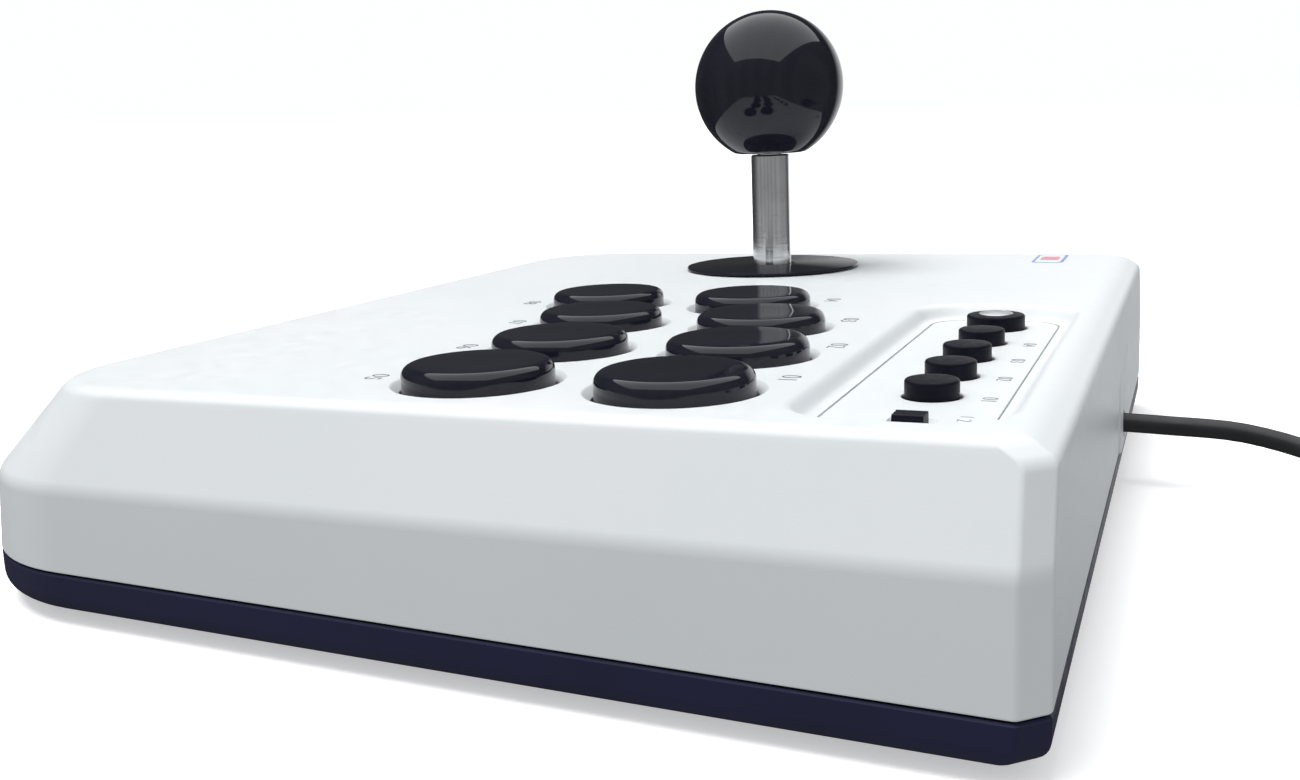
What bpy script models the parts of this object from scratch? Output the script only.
"""Compact arcade joystick panel: a ball-top lever, eight round buttons and a row of function buttons.

Frame: +X towards the right-hand buttons, +Y towards the back, +Z up, the origin on the table under the
middle of the case. Metres. The top of the case slopes up towards the back, and everything that is set
into it is modelled in the panel frame: u along X, v up the slope, w out of the panel.
"""

import math

import bmesh
import bpy
from mathutils import Matrix, Vector

MM = 0.001
GAP = 0.3 * MM

# Case: the outline at the seam, and how the walls lean in above it.
WIDTH = 217.0 * MM
BODY_DEPTH = 176.0 * MM
BOSS_PROUD = 2.0 * MM
FRONT_Y = -(BODY_DEPTH + BOSS_PROUD) / 2
BACK_Y = FRONT_Y + BODY_DEPTH
CORNER_RADIUS = 28.0 * MM
CORNER_STEPS = 7
FACET = 3.6 * MM
WALL = 2.5 * MM
DRAFT = 0.6 * MM
BASE_Z = 2.05 * MM
SEAM_Z = 8.35 * MM
PANEL_Z = 37.8 * MM
PANEL_TILT = math.radians(1.5)
SHOULDER_DROP = 14.4 * MM
EAVE_DROP = 2.7 * MM
END_INSET = 7.1 * MM
FRONT_INSET = 15.0 * MM
BACK_INSET = 5.3 * MM
RIM_RADIUS = 21.0 * MM
SOFT_EDGE = 3.0 * MM
CROWN_INSET = 6.0 * MM
SOFT_STEPS = 3

# Bottom cover.
BASE_ROUND = 5.4 * MM
FLOOR = 2.0 * MM
LIP_HEIGHT = 2.0 * MM
LIP_THICKNESS = 1.4 * MM
FOOT_RADIUS = 8.0 * MM
FOOT_X = 88.0 * MM
FOOT_Y = 70.0 * MM

# Case screws and the posts that they hold.
SCREW_PLACES = ((-86, -52), (0, -60), (86, -52), (-90, 50), (-18, 68), (95, 43))
POST_RADIUS = 3.6 * MM
SCREW_HEAD_RADIUS = 2.8 * MM
SCREW_RADIUS = 1.4 * MM
SCREW_HEAD_Z = 3.8 * MM
SCREW_SEAT_Z = 6.0 * MM
SCREW_TIP_Z = 16.0 * MM
POST_FOOT_Z = SEAM_Z + LIP_HEIGHT + 0.3 * MM

# Play buttons: four columns on a hand's arc, two rows.
COLUMNS = ((82.3, 31.9), (54.4, 31.8), (27.1, 27.0), (1.2, 17.0))
ROW_PITCH = 31.6 * MM
CAP_RADIUS = 11.55 * MM
CAP_PROUD = 2.95 * MM
CAP_EDGE = 1.7 * MM
CAP_WALL = 1.6 * MM
CAP_ROOF = 2.0 * MM
CAP_SLOT = 0.4 * MM
COUNTERSINK_RADIUS = 13.1 * MM
COUNTERSINK_DEPTH = 1.2 * MM
FLANGE_RADIUS = 13.0 * MM
FLANGE_THICKNESS = 1.2 * MM
STEM_RADIUS = 3.2 * MM
STEM_FOOT = -9.3 * MM
DOME_HEIGHT = 4.1 * MM
PCB_TOP = STEM_FOOT - GAP - DOME_HEIGHT - GAP
PCB_THICKNESS = 1.6 * MM
PCB_LOW = (-13.0, -30.0)
PCB_HIGH = (100.0, 38.5)
PCB_POSTS = ((96.0, 16.0), (68.4, 16.0), (40.8, 12.6), (14.2, 6.2))

# Function row: a recess, a plate let into its floor, five buttons and a slide knob.
RECESS_LOW = (-6.3, 50.3)
RECESS_HIGH = (94.5, 79.0)
RECESS_CORNER = 9.0 * MM
RECESS_DEPTH = 2.7 * MM
RECESS_SLOPE = 0.9 * MM
LEDGE = 1.7 * MM
PLATE_FLANGE = 1.6 * MM
PLATE_FLANGE_THICKNESS = 1.2 * MM
FUNCTION_V = 65.2 * MM
FUNCTION_U = (67.6, 52.4, 37.2, 22.0)
FUNCTION_RADIUS = 3.9 * MM
FUNCTION_PROUD = 2.7 * MM
FUNCTION_EDGE = 0.45 * MM
FUNCTION_SLOT = 0.35 * MM
FUNCTION_FLANGE = (1.0 * MM, 0.9 * MM)
FUNCTION_TRAVEL = 0.8 * MM
FUNCTION_BOARD_LOW = (-3.0, 53.6)
FUNCTION_BOARD_HIGH = (91.4, 75.8)
START_U = 5.1 * MM
START_RADIUS = 5.2 * MM
KNOB_PLACE = (84.4 * MM, 65.5 * MM, 0)
KNOB_SIZE = (3.6 * MM, 4.2 * MM)
KNOB_PROUD = 1.3 * MM
KNOB_TRAY = 1.0 * MM
KNOB_TRAVEL = 3.0 * MM

# Lever: every w is measured from the panel's face.
LEVER_U = -65.6 * MM
LEVER_V = 0.5 * MM
LEVER_HOLE = 11.0 * MM
SHAFT_RADIUS = 4.7 * MM
BALL_RADIUS = 18.0 * MM
BALL_CENTRE = 44.3 * MM
BALL_CUT = 16.0 * MM
STUD_RADIUS = 3.0 * MM
STUD_LENGTH = 12.0 * MM
PIVOT_W = -12.5 * MM
TAIL_RADIUS = 2.5 * MM
TAIL_END = -31.8 * MM
WASHER_RADIUS = 21.3 * MM
WASHER_THICKNESS = 0.7 * MM
SHUTTER_TOP = -3.2 * MM
SHUTTER_HALF = 15.0 * MM
HOUSING_HALF = 22.0 * MM
HOUSING_TOP = -6.5 * MM
HOUSING_FOOT = -21.0 * MM
HOUSING_WALL = 2.2 * MM
GATE_FLOOR = -29.4 * MM
GATE_FOOT = -31.2 * MM
GATE_HALF = 5.7 * MM
PIN_RADIUS = 1.2 * MM
RING_OUTER = 10.5 * MM
RING_INNER = 7.5 * MM
RING_HEIGHT = 3.6 * MM
SWITCH_FACE = 7.3 * MM
SWITCH_SIZE = (12.8 * MM, 5.8 * MM, 4.6 * MM)

# Cord: out of the back, down to the table, then coiled.
CORD_RADIUS = 2.0 * MM
CORD_X = -29.8 * MM
CORD_Z = 12.7 * MM
BOSS_HALF = 12.0 * MM
BOSS_TOP_Z = 28.0 * MM
CORD_START_Y = BACK_Y - 6.0 * MM
COIL_CENTRE = (-30.0 * MM, 196.0 * MM)
COIL_RADIUS = 23.0 * MM
COIL_WIDTH = 20.8 * MM
COIL_HEIGHT = 16.5 * MM
PLUG_PLACE = (-72.0 * MM, 214.0 * MM, 4.4 * MM)
PLUG_GRIP = (22.0 * MM, 13.0 * MM, 8.0 * MM)
PLUG_SHELL = (12.0 * MM, 12.0 * MM, 4.5 * MM)
PLUG_SKIN = 0.4 * MM

MATERIALS = {
    "white_shell": ((0.80, 0.83, 0.84), 0.42, 0.0),
    "navy_shell": ((0.016, 0.017, 0.036), 0.45, 0.0),
    "gloss_black": ((0.010, 0.010, 0.016), 0.12, 0.0),
    "matte_black": ((0.012, 0.012, 0.020), 0.50, 0.0),
    "steel": ((0.62, 0.62, 0.64), 0.22, 1.0),
    "nickel": ((0.70, 0.69, 0.66), 0.25, 1.0),
    "grey_nylon": ((0.10, 0.10, 0.11), 0.55, 0.0),
    "acetal": ((0.70, 0.70, 0.66), 0.40, 0.0),
    "rubber": ((0.02, 0.02, 0.02), 0.80, 0.0),
    "silicone": ((0.55, 0.57, 0.58), 0.60, 0.0),
    "circuit_board": ((0.02, 0.13, 0.05), 0.45, 0.0),
}


# ---------------------------------------------------------------- helpers


def material(name):
    found = bpy.data.materials.get(name)
    if found:
        return found
    colour, roughness, metallic = MATERIALS[name]
    made = bpy.data.materials.new(name)
    made.use_nodes = True
    shader = made.node_tree.nodes["Principled BSDF"]
    shader.inputs["Base Color"].default_value = (*colour, 1.0)
    shader.inputs["Roughness"].default_value = roughness
    shader.inputs["Metallic"].default_value = metallic
    return made


def add_object(name, bm, finish=None, parent=None, place=(0.0, 0.0, 0.0)):
    """Turn a bmesh into an object; one with no finish is a cutter or an adder."""
    bmesh.ops.recalc_face_normals(bm, faces=bm.faces)
    mesh = bpy.data.meshes.new(name)
    bm.to_mesh(mesh)
    bm.free()
    mesh.shade_smooth()
    mesh.set_sharp_from_angle(angle=math.radians(35))
    made = bpy.data.objects.new(name, mesh)
    bpy.context.scene.collection.objects.link(made)
    made.parent = parent
    made.location = place
    if finish:
        mesh.materials.append(material(finish))
    else:
        made.hide_render = True
        made.display_type = "WIRE"
    return made


def copy_object(source, name, place):
    made = bpy.data.objects.new(name, source.data)
    bpy.context.scene.collection.objects.link(made)
    made.parent = source.parent
    made.location = place
    return made


def combine(target, operation, tool):
    step = target.modifiers.new(f"{operation.lower()} {tool.name}", "BOOLEAN")
    step.operation = operation
    step.solver = "EXACT"
    step.object = tool


def loft(rings):
    """A closed solid through rings of equally many points, with a flat face on the first and last."""
    bm = bmesh.new()
    loops = [[bm.verts.new(point) for point in ring] for ring in rings]
    count = len(loops[0])
    for low, high in zip(loops, loops[1:]):
        for i in range(count):
            j = (i + 1) % count
            bm.faces.new((low[i], low[j], high[j], high[i]))
    bm.faces.new(loops[0])
    bm.faces.new(loops[-1])
    return bm


def turned(profile, steps, axis="w"):
    """A solid of revolution. A profile that leaves and returns to radius 0 is solid on its axis;
    any other is a closed loop that makes a ring."""
    bm = bmesh.new()
    loops = []
    for radius, height in profile:
        if radius == 0:
            loops.append([bm.verts.new((0, 0, height))])
            continue
        circle = [2 * math.pi * k / steps for k in range(steps)]
        points = [(radius * math.cos(a), radius * math.sin(a), height) for a in circle]
        loops.append([bm.verts.new(point) for point in points])
    pairs = list(zip(loops, loops[1:]))
    if profile[0][0] != 0:
        pairs.append((loops[-1], loops[0]))
    for low, high in pairs:
        for i in range(steps):
            j = (i + 1) % steps
            corners = [low[i % len(low)], low[j % len(low)], high[j % len(high)], high[i % len(high)]]
            bm.faces.new(list(dict.fromkeys(corners)))
    if axis == "u":
        bm.transform(Matrix.Rotation(math.pi / 2, 4, "Y"))
    if axis == "v":
        bm.transform(Matrix.Rotation(-math.pi / 2, 4, "X"))
    return bm


def repeated(shape, places):
    """One bmesh that holds a shape, given as a function of its place, at each place."""
    whole = bmesh.new()
    for place in places:
        piece = shape(place)
        piece.transform(Matrix.Translation(place))
        carrier = bpy.data.meshes.new("carrier")
        piece.to_mesh(carrier)
        piece.free()
        whole.from_mesh(carrier)
        bpy.data.meshes.remove(carrier)
    return whole


def tube_profile(outer, inner, low, high):
    return [(outer, high), (outer, low), (inner, low), (inner, high)]


def rod_profile(radius, low, high):
    return [(0, high), (radius, high), (radius, low), (0, low)]


def block(low, high):
    """An axis-aligned box between two corners."""
    corners = [(low[0], low[1]), (high[0], low[1]), (high[0], high[1]), (low[0], high[1])]
    return loft([[(x, y, z) for x, y in corners] for z in (low[2], high[2])])


def rounded_rectangle(low, high, radius, steps=4):
    """Corner points of a rectangle with round corners, anticlockwise."""
    points = []
    corners = (
        (high[0] - radius, low[1] + radius, -90),
        (high[0] - radius, high[1] - radius, 0),
        (low[0] + radius, high[1] - radius, 90),
        (low[0] + radius, low[1] + radius, 180),
    )
    for x, y, start in corners:
        for k in range(steps + 1):
            angle = math.radians(start + 90 * k / steps)
            points.append((x + radius * math.cos(angle), y + radius * math.sin(angle)))
    return points


def slab(low, high, radius, bottom, top):
    """A flat piece with round corners between two heights."""
    outline = rounded_rectangle(low, high, radius)
    return loft([[(x, y, z) for x, y in outline] for z in (bottom, top)])


def square_slab(half, radius, bottom, top):
    return slab((-half, -half), (half, half), radius, bottom, top)


def millimetres(pair, grow=0.0):
    return (pair[0] * MM + grow, pair[1] * MM + grow)


def panel_frame():
    """The empty that carries everything set into the sloping top."""
    frame = bpy.data.objects.new("panel_frame", None)
    frame.location = (0, 0, PANEL_Z)
    frame.rotation_euler = (PANEL_TILT, 0, 0)
    bpy.context.scene.collection.objects.link(frame)
    return frame


def lever_frame(panel):
    frame = bpy.data.objects.new("lever_frame", None)
    frame.location = (LEVER_U, LEVER_V, 0)
    frame.parent = panel
    bpy.context.scene.collection.objects.link(frame)
    return frame


def panel_height(y, drop=0.0):
    """World height of the sloping top at y, less a drop."""
    return PANEL_Z + y * math.tan(PANEL_TILT) - drop


# ---------------------------------------------------------------- case


def plan(inset, end=0.0, front=0.0, back=0.0, radius=CORNER_RADIUS, facet=FACET):
    """Case outline seen from above, drawn in from the seam by an inset on every side and by
    more at the ends, the front and the back: round front corners, small flats at the back ones."""
    half = WIDTH / 2 - inset - end
    low = FRONT_Y + inset + front
    high = BACK_Y - inset - back
    radius = max(radius - inset, 2 * MM)
    points = []
    for x, start in ((half - radius, -90), (-half + radius, 180)):
        for k in range(CORNER_STEPS + 1):
            angle = math.radians(start + 90 * k / CORNER_STEPS)
            points.append((x + radius * math.cos(angle), low + radius + radius * math.sin(angle)))
        if start == -90:
            points += [(half, high - facet), (half - facet, high)]
            points += [(-half + facet, high), (-half, high - facet)]
    return points


def sloped_ring(outline, drop):
    return [Vector((x, y, panel_height(y, drop))) for x, y in outline]


def level_ring(outline, height):
    return [Vector((x, y, height)) for x, y in outline]


def softened(path, corners):
    """Round the numbered corners of a path with short parabolic arcs."""
    points = []
    for index, corner in enumerate(path):
        if index not in corners:
            points.append(corner)
            continue
        before = path[index - 1] - corner
        after = path[index + 1] - corner
        start = corner + before.normalized() * min(SOFT_EDGE, before.length * 0.45)
        end = corner + after.normalized() * min(SOFT_EDGE, after.length * 0.45)
        for k in range(SOFT_STEPS + 1):
            t = k / SOFT_STEPS
            points.append(start * (1 - t) ** 2 + corner * 2 * t * (1 - t) + end * t**2)
    return points


def case_rings():
    """Rings of the top cover, from the flat top outside, down, round the rim and up to the ceiling."""
    eave = 1 - EAVE_DROP / SHOULDER_DROP
    eave_end = DRAFT + (END_INSET - DRAFT) * eave
    eave_front = DRAFT + (FRONT_INSET - DRAFT) * eave
    eave_radius = CORNER_RADIUS + (RIM_RADIUS - CORNER_RADIUS) * eave
    crown = [inset + CROWN_INSET for inset in (END_INSET, FRONT_INSET, BACK_INSET)]
    outside = [
        level_ring(plan(0), SEAM_Z + GAP / 2),
        sloped_ring(plan(0, DRAFT, DRAFT, DRAFT), SHOULDER_DROP),
        sloped_ring(plan(0, eave_end, eave_front, 2 * DRAFT, eave_radius), EAVE_DROP),
        sloped_ring(plan(0, END_INSET, FRONT_INSET, BACK_INSET, RIM_RADIUS), 0),
        sloped_ring(plan(0, *crown, RIM_RADIUS - 4 * MM), 0),
    ]
    columns = [softened(list(column), (1, 3)) for column in zip(*outside)]
    rings = [list(ring) for ring in zip(*columns)]
    rings.reverse()
    rings.append(level_ring(plan(WALL), SEAM_Z + GAP / 2))
    rings.append(sloped_ring(plan(WALL, DRAFT, DRAFT, DRAFT), SHOULDER_DROP + 1 * MM))
    ceiling = plan(WALL, END_INSET - 1 * MM, FRONT_INSET - 2 * MM, BACK_INSET / 2, RIM_RADIUS)
    rings.append(sloped_ring(ceiling, WALL))
    return rings


def case_post(place):
    """A screw post that ends inside the sloping top above its place."""
    return turned(rod_profile(POST_RADIUS, POST_FOOT_Z, panel_height(place[1], WALL / 2)), 12)


def button_places():
    """Panel places of the eight play buttons: the back row, then the front row."""
    back = [(u * MM, v * MM) for u, v in COLUMNS]
    return back + [(u, v - ROW_PITCH) for u, v in back]


def recess_outline(inset):
    """Rounded outline of the recess, drawn in by an inset."""
    low = millimetres(RECESS_LOW, inset)
    high = millimetres(RECESS_HIGH, -inset)
    return rounded_rectangle(low, high, RECESS_CORNER - inset)


def recess_ring(inset, w):
    return [(u, v, w) for u, v in recess_outline(inset)]


def build_top_shell(panel):
    shell = add_object("top_shell", loft(case_rings()), "white_shell")
    boss = block(
        (CORD_X - BOSS_HALF, BACK_Y - WALL / 2 - DRAFT, SEAM_Z + GAP / 2),
        (CORD_X + BOSS_HALF, BACK_Y + BOSS_PROUD, BOSS_TOP_Z),
    )
    combine(shell, "UNION", add_object("cord_boss", boss))
    outlet = turned(rod_profile(CORD_RADIUS + 1.5 * GAP, -WALL * 3, WALL * 3), 16, "v")
    combine(shell, "DIFFERENCE", add_object("cord_outlet", outlet, place=(CORD_X, BACK_Y, CORD_Z)))

    tub_foot = -(RECESS_DEPTH + 2.2 * MM)
    tub = loft([recess_ring(-2 * MM, tub_foot), recess_ring(-2 * MM, -WALL / 2)])
    combine(shell, "UNION", add_object("recess_tub", tub, parent=panel))
    screws = [(x * MM, y * MM, 0) for x, y in SCREW_PLACES]
    combine(shell, "UNION", add_object("case_posts", repeated(case_post, screws)))
    pilot = rod_profile(SCREW_RADIUS + GAP, POST_FOOT_Z - 1 * MM, SCREW_TIP_Z + 1 * MM)
    pilots = repeated(lambda _: turned(pilot, 12), screws)
    combine(shell, "DIFFERENCE", add_object("case_pilots", pilots))
    stake = [(0, -WALL / 2), (2.4 * MM, -WALL / 2), (2.4 * MM, PCB_TOP + GAP), (1.2 * MM, PCB_TOP + GAP)]
    stake += [(1.2 * MM, PCB_TOP - 2.2 * MM), (0, PCB_TOP - 2.2 * MM)]
    stakes = repeated(lambda _: turned(stake, 10), [(u * MM, v * MM, 0) for u, v in PCB_POSTS])
    combine(shell, "UNION", add_object("board_stakes", stakes, parent=panel))
    foot = rod_profile(3 * MM, HOUSING_TOP + GAP, -WALL / 2)
    corners = [(LEVER_U + u, LEVER_V + v, 0) for u, v in housing_corners()]
    feet = repeated(lambda _: turned(foot, 12), corners)
    combine(shell, "UNION", add_object("lever_posts", feet, parent=panel))

    mouth = loft([recess_ring(-RECESS_SLOPE * 0.35, 1 * MM), recess_ring(RECESS_SLOPE, -RECESS_DEPTH)])
    combine(shell, "DIFFERENCE", add_object("recess_mouth", mouth, parent=panel))
    window = loft([recess_ring(RECESS_SLOPE + LEDGE, w) for w in (tub_foot - 1 * MM, 0)])
    combine(shell, "DIFFERENCE", add_object("recess_window", window, parent=panel))
    hole = turned(rod_profile(LEVER_HOLE, -2 * WALL, WALL), 32)
    lever = (LEVER_U, LEVER_V, 0)
    combine(shell, "DIFFERENCE", add_object("lever_hole", hole, parent=panel, place=lever))
    bore = CAP_RADIUS + CAP_SLOT
    slope = (COUNTERSINK_RADIUS - bore) / COUNTERSINK_DEPTH
    above = 1 * MM
    profile = [(0, above), (COUNTERSINK_RADIUS + slope * above, above)]
    profile += [(bore, -COUNTERSINK_DEPTH), (bore, -2 * WALL), (0, -2 * WALL)]
    holes = repeated(lambda _: turned(profile, 28), [(u, v, 0) for u, v in button_places()])
    combine(shell, "DIFFERENCE", add_object("button_holes", holes, parent=panel))


def build_bottom_shell():
    steps = 4
    rings = []
    for k in range(steps + 1):
        angle = math.pi / 2 * k / steps
        inset = BASE_ROUND * (1 - math.sin(angle))
        height = BASE_Z + (SEAM_Z - BASE_Z) * 0.8 * (1 - math.cos(angle))
        rings.append(level_ring(plan(inset), height))
    lip = WALL + GAP
    lip_top = SEAM_Z + LIP_HEIGHT
    rings.append(level_ring(plan(0), SEAM_Z - GAP / 2))
    rings.append(level_ring(plan(lip), SEAM_Z - GAP / 2))
    rings.append(level_ring(plan(lip), lip_top))
    rings.append(level_ring(plan(lip + LIP_THICKNESS), lip_top))
    rings.append(level_ring(plan(lip + LIP_THICKNESS + 1.5 * MM), BASE_Z + FLOOR))
    shell = add_object("bottom_shell", loft(rings), "navy_shell")

    places = [(x * MM, y * MM, 0) for x, y in SCREW_PLACES]
    post = rod_profile(5 * MM, BASE_Z + FLOOR / 2, POST_FOOT_Z - GAP)
    combine(shell, "UNION", add_object("base_posts", repeated(lambda _: turned(post, 14), places)))
    head = SCREW_HEAD_RADIUS + GAP
    shank = SCREW_RADIUS + GAP
    well = [(0, 0), (head, 0), (head, SCREW_SEAT_Z), (shank, SCREW_SEAT_Z)]
    well += [(shank, 2 * SCREW_TIP_Z), (0, 2 * SCREW_TIP_Z)]
    combine(shell, "DIFFERENCE", add_object("base_wells", repeated(lambda _: turned(well, 14), places)))
    cradle = block(
        (CORD_X - 6 * MM, CORD_START_Y - 9 * MM, BASE_Z + FLOOR / 2),
        (CORD_X + 6 * MM, CORD_START_Y - 3 * MM, CORD_Z - 4.5 * MM - GAP),
    )
    combine(shell, "UNION", add_object("bush_cradle", cradle))


def build_feet_and_screws():
    foot = add_object("foot_1", turned(rod_profile(FOOT_RADIUS, 0, BASE_Z - GAP), 20), "rubber")
    foot.location = (FOOT_X, FOOT_Y, 0)
    for number, (x, y) in enumerate(((-1, 1), (-1, -1), (1, -1)), start=2):
        copy_object(foot, f"foot_{number}", (FOOT_X * x, FOOT_Y * y, 0))
    seat = SCREW_SEAT_Z - GAP
    profile = [(0, SCREW_HEAD_Z), (SCREW_HEAD_RADIUS, SCREW_HEAD_Z), (SCREW_HEAD_RADIUS, seat)]
    profile += [(SCREW_RADIUS, seat), (SCREW_RADIUS, SCREW_TIP_Z - 1 * MM), (0, SCREW_TIP_Z)]
    first = None
    for number, (x, y) in enumerate(SCREW_PLACES, start=1):
        place = (x * MM, y * MM, 0)
        if first:
            copy_object(first, f"case_screw_{number}", place)
        else:
            first = add_object("case_screw_1", turned(profile, 12), "steel", place=place)


# ---------------------------------------------------------------- play buttons


def build_buttons(panel):
    flange_top = -WALL - GAP
    edge = [
        (CAP_RADIUS - CAP_EDGE * (1 - math.sin(a)), CAP_PROUD - CAP_EDGE * (1 - math.cos(a)))
        for a in (0, math.pi / 4, math.pi / 2)
    ]
    flange_foot = flange_top - FLANGE_THICKNESS
    inside = CAP_RADIUS - CAP_WALL
    ceiling = CAP_PROUD - CAP_ROOF
    profile = [(0, CAP_PROUD), *edge, (CAP_RADIUS, flange_top), (FLANGE_RADIUS, flange_top)]
    profile += [(FLANGE_RADIUS, flange_foot), (inside, flange_foot), (inside, ceiling)]
    profile += [(STEM_RADIUS, ceiling)]
    profile += [(STEM_RADIUS, STEM_FOOT), (0, STEM_FOOT)]
    foot = PCB_TOP + GAP
    crown = STEM_FOOT - GAP
    under = crown - 1.2 * MM
    dome = [(0, crown), (3.4 * MM, crown), (4.6 * MM, foot + 0.9 * MM), (6 * MM, foot + 0.8 * MM)]
    dome += [(6 * MM, foot), (4.3 * MM, foot), (2.4 * MM, under), (0, under)]
    caps = None
    domes = None
    for number, (u, v) in enumerate(button_places(), start=1):
        if caps:
            copy_object(caps, f"button_{number}", (u, v, 0))
            copy_object(domes, f"button_dome_{number}", (u, v, 0))
        else:
            caps = add_object("button_1", turned(profile, 20), "gloss_black", panel, (u, v, 0))
            domes = add_object("button_dome_1", turned(dome, 12), "silicone", panel, (u, v, 0))

    board = slab(millimetres(PCB_LOW), millimetres(PCB_HIGH), 2 * MM, PCB_TOP - PCB_THICKNESS, PCB_TOP)
    main = add_object("main_pcb", board, "circuit_board", panel)
    hole = rod_profile(1.5 * MM, PCB_TOP - 2 * PCB_THICKNESS, PCB_TOP + PCB_THICKNESS)
    holes = repeated(lambda _: turned(hole, 10), [(u * MM, v * MM, 0) for u, v in PCB_POSTS])
    combine(main, "DIFFERENCE", add_object("board_holes", holes, parent=panel))


# ---------------------------------------------------------------- function row


def function_places():
    """(name, u, radius) of the five round function buttons."""
    row = [(f"function_button_{n}", u * MM, FUNCTION_RADIUS) for n, u in enumerate(FUNCTION_U, start=1)]
    return row + [("start_button", START_U, START_RADIUS)]


def build_function_row(panel):
    face = -RECESS_DEPTH
    ledge_foot = face - 2.2 * MM
    flange_top = ledge_foot - GAP
    plate_foot = flange_top - PLATE_FLANGE_THICKNESS
    fit = RECESS_SLOPE + LEDGE + GAP
    spread = fit - PLATE_FLANGE - GAP
    rings = [recess_ring(fit, face), recess_ring(fit, flange_top), recess_ring(spread, flange_top)]
    rings.append(recess_ring(spread, plate_foot))
    plate = add_object("function_panel", loft(rings), "white_shell", panel)

    board_top = plate_foot - 5 * MM
    corners = [(u * MM, v * MM, 0) for u in (-1.0, 89.6) for v in (55.6, 73.9)]
    stake = rod_profile(1.6 * MM, board_top + GAP, plate_foot + PLATE_FLANGE_THICKNESS / 2)
    stakes = repeated(lambda _: turned(stake, 10), corners)
    combine(plate, "UNION", add_object("plate_stakes", stakes, parent=panel))

    flange_spread, flange_thickness = FUNCTION_FLANGE
    button_flange = plate_foot - GAP
    button_foot = button_flange - flange_thickness
    top = face + FUNCTION_PROUD
    for name, u, radius in function_places():
        place = (u, FUNCTION_V, 0)
        hole = turned(rod_profile(radius + FUNCTION_SLOT, plate_foot - 1 * MM, face + 1 * MM), 20)
        combine(plate, "DIFFERENCE", add_object("function_hole", hole, parent=panel, place=place))
        profile = [(0, top), (radius - FUNCTION_EDGE, top), (radius, top - FUNCTION_EDGE)]
        profile += [(radius, button_flange), (radius + flange_spread, button_flange)]
        profile += [(radius + flange_spread, button_foot), (0, button_foot)]
        add_object(name, turned(profile, 20), "matte_black", panel, place)

    half_u, half_v = KNOB_SIZE[0] / 2, KNOB_SIZE[1] / 2
    slot = block(
        (-half_u - GAP, -half_v - GAP, plate_foot - 1 * MM),
        (half_u + KNOB_TRAVEL + GAP, half_v + GAP, face + 1 * MM),
    )
    combine(plate, "DIFFERENCE", add_object("knob_slot", slot, parent=panel, place=KNOB_PLACE))
    knob_top = face + KNOB_PROUD
    knob_foot = plate_foot - GAP - KNOB_TRAY
    knob = block((-half_u, -half_v, knob_foot), (half_u, half_v, knob_top))
    slider = add_object("mode_knob", knob, "matte_black", panel, KNOB_PLACE)
    groove = block((-GAP, -2 * half_v, knob_top - 0.5 * MM), (GAP, 2 * half_v, knob_top + 1 * MM))
    pitch = KNOB_SIZE[0] / 3
    grooves = repeated(lambda _: groove.copy(), [(-pitch / 2, 0, 0), (pitch / 2, 0, 0)])
    combine(slider, "DIFFERENCE", add_object("knob_grooves", grooves, parent=panel, place=KNOB_PLACE))
    tray = block(
        (-half_u - KNOB_TRAY, -half_v - KNOB_TRAY, knob_foot),
        (half_u + KNOB_TRAY, half_v + KNOB_TRAY, knob_foot + KNOB_TRAY),
    )
    combine(slider, "UNION", add_object("knob_tray", tray, parent=panel, place=KNOB_PLACE))
    switch = block((-half_u, -half_v, board_top + GAP), (half_u + KNOB_TRAVEL, half_v, knob_foot - GAP))
    add_object("mode_switch", switch, "nickel", panel, KNOB_PLACE)

    mat_top = board_top + GAP + 0.8 * MM
    mat = slab((-1.5 * MM, 59 * MM), (76 * MM, 71.4 * MM), 1 * MM, board_top + GAP, mat_top)
    pads = add_object("function_mat", mat, "silicone", panel)
    for _, u, radius in function_places():
        pad_top = button_foot - FUNCTION_TRAVEL - 0.2 * MM
        pad = turned(rod_profile(radius * 0.7, board_top + 2 * GAP, pad_top), 12)
        combine(pads, "UNION", add_object("mat_pad", pad, parent=panel, place=(u, FUNCTION_V, 0)))
    low, high = millimetres(FUNCTION_BOARD_LOW), millimetres(FUNCTION_BOARD_HIGH)
    board = slab(low, high, 1 * MM, board_top - PCB_THICKNESS, board_top)
    add_object("function_pcb", board, "circuit_board", panel)


# ---------------------------------------------------------------- lever


def housing_corners():
    reach = HOUSING_HALF - 3 * MM
    return [(x * reach, y * reach) for x in (-1, 1) for y in (-1, 1)]


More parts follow.
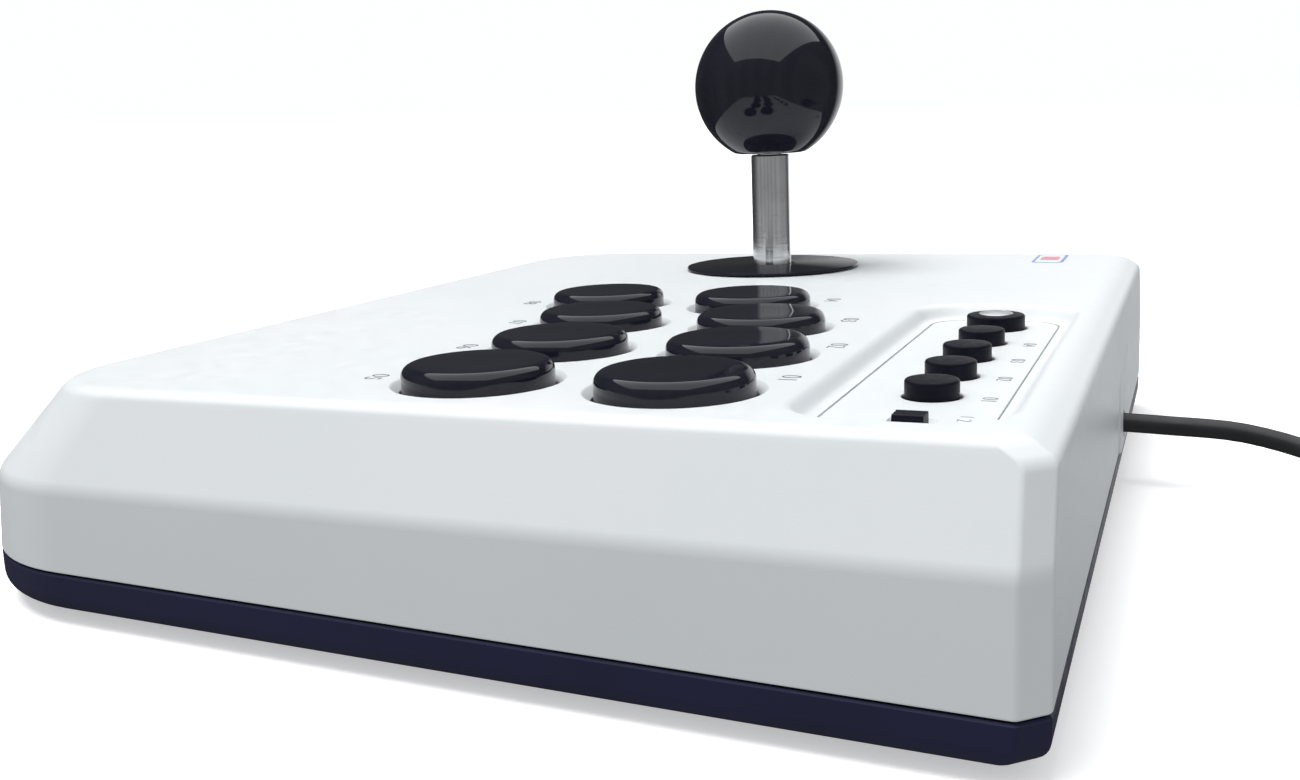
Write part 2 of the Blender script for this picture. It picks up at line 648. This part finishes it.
def build_lever_housing(lever):
    box = square_slab(HOUSING_HALF, 4 * MM, HOUSING_FOOT, HOUSING_TOP)
    housing = add_object("lever_housing", box, "grey_nylon", lever)
    inner = HOUSING_HALF - HOUSING_WALL
    roof = HOUSING_TOP - 2 * MM
    seat_top = PIVOT_W - 3.7 * MM
    seat_foot = seat_top - 1 * MM
    upper = square_slab(inner, 2 * MM, seat_top, roof)
    combine(housing, "DIFFERENCE", add_object("housing_upper", upper, parent=lever))
    lower = square_slab(inner, 2 * MM, HOUSING_FOOT - 1 * MM, seat_foot)
    combine(housing, "DIFFERENCE", add_object("housing_lower", lower, parent=lever))
    mouth = turned(rod_profile(13 * MM, roof - 1 * MM, 0), 24)
    combine(housing, "DIFFERENCE", add_object("housing_mouth", mouth, parent=lever))
    seat_hole = turned(rod_profile(6.2 * MM, seat_foot - 1 * MM, seat_top + 1 * MM), 20)
    combine(housing, "DIFFERENCE", add_object("seat_hole", seat_hole, parent=lever))
    for side in (-1, 1):
        near, far = sorted((side * 11.8 * MM, side * (inner + 1 * MM)))
        lug = block((near, -3 * MM, seat_foot), (far, 3 * MM, roof + 1 * MM))
        combine(housing, "UNION", add_object("pivot_lug", lug, parent=lever))
    axle = turned(rod_profile(PIN_RADIUS + 0.25 * MM, -17 * MM, 17 * MM), 14, "u")
    pivot = (0, 0, PIVOT_W)
    combine(housing, "DIFFERENCE", add_object("pivot_bore", axle, parent=lever, place=pivot))

    gate_top = HOUSING_FOOT - GAP
    cover = square_slab(HOUSING_HALF, 4 * MM, GATE_FOOT, gate_top)
    gate = add_object("restrictor_gate", cover, "grey_nylon", lever)
    hollow = square_slab(inner, 2 * MM, GATE_FLOOR, gate_top + 1 * MM)
    combine(gate, "DIFFERENCE", add_object("gate_hollow", hollow, parent=lever))
    window = square_slab(GATE_HALF, 0.5 * MM, GATE_FOOT - 1 * MM, GATE_FLOOR + 1 * MM)
    combine(gate, "DIFFERENCE", add_object("gate_window", window, parent=lever))
    board_foot = gate_top - 0.1 * MM - PCB_THICKNESS
    shelf = rod_profile(3 * MM, GATE_FLOOR - 1 * MM, board_foot - GAP)
    corners = [(u * 0.9, v * 0.9, 0) for u, v in housing_corners()]
    shelves = repeated(lambda _: turned(shelf, 10), corners)
    combine(gate, "UNION", add_object("gate_shelves", shelves, parent=lever))
    board = square_slab(inner - 2 * GAP, 2 * MM, board_foot, board_foot + PCB_THICKNESS)
    lever_board = add_object("lever_pcb", board, "circuit_board", lever)
    clearance = square_slab(8.5 * MM, 1 * MM, board_foot - 1 * MM, HOUSING_FOOT)
    combine(lever_board, "DIFFERENCE", add_object("lever_board_window", clearance, parent=lever))

    length, thickness, height = SWITCH_SIZE
    for number, turn in enumerate((0, 90, 180, 270), start=1):
        body = block(
            (SWITCH_FACE, -length / 2, board_foot - GAP - height),
            (SWITCH_FACE + thickness, length / 2, board_foot - GAP),
        )
        body.transform(Matrix.Rotation(math.radians(turn), 4, "Z"))
        add_object(f"lever_switch_{number}", body, "matte_black", lever)


def build_lever(lever):
    """The moving pieces; the origin of each is where the lever's two tilting axes cross."""
    pivot = (0, 0, PIVOT_W)
    ring = tube_profile(RING_OUTER, RING_INNER, -RING_HEIGHT / 2, RING_HEIGHT / 2)
    gimbal = add_object("gimbal_ring", turned(ring, 28), "acetal", lever, pivot)
    for side in (-1, 1):
        near, far = sorted((side * (RING_OUTER - 1 * MM), side * 15.5 * MM))
        pin = turned(rod_profile(PIN_RADIUS, near, far), 12, "u")
        combine(gimbal, "UNION", add_object("ring_pin", pin, parent=lever, place=pivot))
    bore = turned(rod_profile(PIN_RADIUS + 0.25 * MM, -12 * MM, 12 * MM), 14, "v")
    combine(gimbal, "DIFFERENCE", add_object("ring_bore", bore, parent=lever, place=pivot))

    under_ball = BALL_CENTRE - BALL_CUT - GAP - PIVOT_W
    hub = 5.8 * MM
    stud_tip = under_ball + STUD_LENGTH
    profile = [(0, stud_tip), (STUD_RADIUS, stud_tip), (STUD_RADIUS, under_ball)]
    profile += [(SHAFT_RADIUS, under_ball), (SHAFT_RADIUS, 2.5 * MM), (hub, 2.5 * MM), (hub, -2.5 * MM)]
    profile += [(TAIL_RADIUS, -3.5 * MM), (TAIL_RADIUS, TAIL_END - PIVOT_W), (0, TAIL_END - PIVOT_W)]
    shaft = add_object("lever_shaft", turned(profile, 24), "steel", lever, pivot)
    cross = turned(rod_profile(PIN_RADIUS, -9.7 * MM, 9.7 * MM), 12, "v")
    combine(shaft, "UNION", add_object("shaft_pin", cross, parent=lever, place=pivot))

    rows = 9
    lowest = -math.asin(BALL_CUT / BALL_RADIUS)
    bore_end = -BALL_CUT + STUD_LENGTH + 2 * GAP
    ball = [(0, bore_end), (STUD_RADIUS + GAP, bore_end), (STUD_RADIUS + GAP, -BALL_CUT)]
    for k in range(rows):
        angle = lowest + (math.pi / 2 - lowest) * k / rows
        ball.append((BALL_RADIUS * math.cos(angle), BALL_RADIUS * math.sin(angle)))
    ball.append((0, BALL_RADIUS))
    add_object("ball_top", turned(ball, 24), "gloss_black", lever, (0, 0, BALL_CENTRE))

    around_tail = TAIL_RADIUS + GAP
    collar_top = -6.6 * MM
    collar = tube_profile(7 * MM, around_tail, collar_top - 1 * MM, collar_top)
    add_object("spring_collar", turned(collar, 20), "acetal", lever, pivot)
    build_centring_spring(lever, pivot, collar_top - 1 * MM - GAP)
    actuator = tube_profile(4.5 * MM, around_tail, -14.9 * MM, -12.1 * MM)
    add_object("lever_actuator", turned(actuator, 20), "acetal", lever, pivot)
    clip = tube_profile(4 * MM, around_tail, -15.8 * MM, -15.2 * MM)
    add_object("retaining_clip", turned(clip, 16), "steel", lever, pivot)


def build_centring_spring(lever, pivot, top):
    """A short compression spring round the tail: a helix of wire, flat ends left out."""
    wire = 0.4 * MM
    mean = 4.6 * MM
    turns = 3
    height = 4.0 * MM - 2 * wire
    steps = 12
    curve = bpy.data.curves.new("centring_spring", "CURVE")
    curve.dimensions = "3D"
    curve.bevel_depth = wire
    curve.bevel_resolution = 0
    curve.use_fill_caps = True
    curve.render_resolution_u = 0
    line = curve.splines.new("POLY")
    line.points.add(turns * steps)
    for k in range(turns * steps + 1):
        angle = 2 * math.pi * k / steps
        z = top - wire - height * k / (turns * steps)
        line.points[k].co = (mean * math.cos(angle), mean * math.sin(angle), z, 1)
    made = bpy.data.objects.new("centring_spring", curve)
    bpy.context.scene.collection.objects.link(made)
    curve.materials.append(material("steel"))
    made.parent = lever
    made.location = pivot


def build_dust_covers(lever):
    washer = tube_profile(WASHER_RADIUS, SHAFT_RADIUS + GAP, GAP, GAP + WASHER_THICKNESS)
    add_object("dust_washer", turned(washer, 36), "gloss_black", lever)
    plate = square_slab(SHUTTER_HALF, 2 * MM, SHUTTER_TOP - 1 * MM, SHUTTER_TOP)
    shutter = add_object("dust_shutter", plate, "matte_black", lever)
    reach = (7.4 * MM, 5.9 * MM)
    slot = slab((-reach[0], -reach[1]), reach, 5 * MM, SHUTTER_TOP - 2 * MM, SHUTTER_TOP + 1 * MM)
    combine(shutter, "DIFFERENCE", add_object("shutter_slot", slot, parent=lever))


# ---------------------------------------------------------------- cord


def smooth_route(knots, spacing):
    """Points a spacing apart, or a little less, on a smooth curve through the knots."""
    ends = [knots[0] * 2 - knots[1], *knots, knots[-1] * 2 - knots[-2]]
    points = [knots[0]]
    for a, b, c, d in zip(ends, ends[1:], ends[2:], ends[3:]):
        steps = max(1, math.ceil((c - b).length / spacing))
        square = a * 2 - b * 5 + c * 4 - d
        cube = b * 3 - a - c * 3 + d
        for k in range(1, steps + 1):
            t = k / steps
            points.append((b * 2 + (c - a) * t + square * t**2 + cube * t**3) / 2)
    return points


def cord_knots():
    """The free stretch, from inside the outlet to where it joins the coil's lowest outer turn."""
    places = (
        (CORD_X / MM, CORD_START_Y / MM, CORD_Z / MM),
        (-29.8, 96, 12.7),
        (-29.6, 110, 12.3),
        (-27, 124, 9.6),
        (-19, 138, 5.6),
        (-8, 151, 3.0),
        (1.2, 166, 2.3),
        (5.6, 182, 2.3),
        (5.8, 193, 2.3),
    )
    return [Vector(place) * MM for place in places]


def build_cord():
    points = smooth_route(cord_knots(), 5 * MM)
    curve = bpy.data.curves.new("cord", "CURVE")
    curve.dimensions = "3D"
    curve.bevel_depth = CORD_RADIUS
    curve.bevel_resolution = 2
    curve.use_fill_caps = True
    curve.render_resolution_u = 0
    line = curve.splines.new("POLY")
    line.points.add(len(points) - 1)
    for target, point in zip(line.points, points):
        target.co = (*point, 1)
    curve.materials.append(material("rubber"))
    bpy.context.scene.collection.objects.link(bpy.data.objects.new("cord", curve))

    bush = tube_profile(4.5 * MM, CORD_RADIUS + GAP, 0, 10 * MM)
    place = (CORD_X, CORD_START_Y - GAP - 10 * MM, CORD_Z)
    add_object("cord_bush", turned(bush, 14, "v"), "rubber", place=place)

    inner, outer = COIL_RADIUS - COIL_WIDTH / 2, COIL_RADIUS + COIL_WIDTH / 2
    section = rounded_rectangle((inner, GAP), (outer, GAP + COIL_HEIGHT), 2 * CORD_RADIUS, 2)
    add_object("cord_coil", turned(section, 26), "rubber", place=(*COIL_CENTRE, 0))


def build_plug():
    """The plug on the end of the cord, lying flat beside the coil with its mouth to the left."""
    turn = Matrix.Rotation(math.radians(180), 4, "Z")
    length, width, height = PLUG_GRIP
    grip = slab((0, -width / 2), (length, width / 2), 2 * MM, -height / 2, height / 2)
    grip.transform(turn)
    add_object("plug_grip", grip, "rubber", place=PLUG_PLACE)
    start = length + GAP
    length, width, height = PLUG_SHELL
    end = start + length
    sleeve = block((start, -width / 2, -height / 2), (end, width / 2, height / 2))
    sleeve.transform(turn)
    metal = add_object("plug_shell", sleeve, "nickel", place=PLUG_PLACE)
    half = width / 2 - PLUG_SKIN
    mouth = block((start + 1 * MM, -half, -0.1 * MM), (end + 1 * MM, half, height / 2 - PLUG_SKIN))
    mouth.transform(turn)
    combine(metal, "DIFFERENCE", add_object("plug_mouth", mouth, place=PLUG_PLACE))


def main():
    for old in list(bpy.data.objects):
        bpy.data.objects.remove(old)
    panel = panel_frame()
    lever = lever_frame(panel)
    build_top_shell(panel)
    build_bottom_shell()
    build_feet_and_screws()
    build_buttons(panel)
    build_function_row(panel)
    build_lever_housing(lever)
    build_lever(lever)
    build_dust_covers(lever)
    build_cord()
    build_plug()


main()
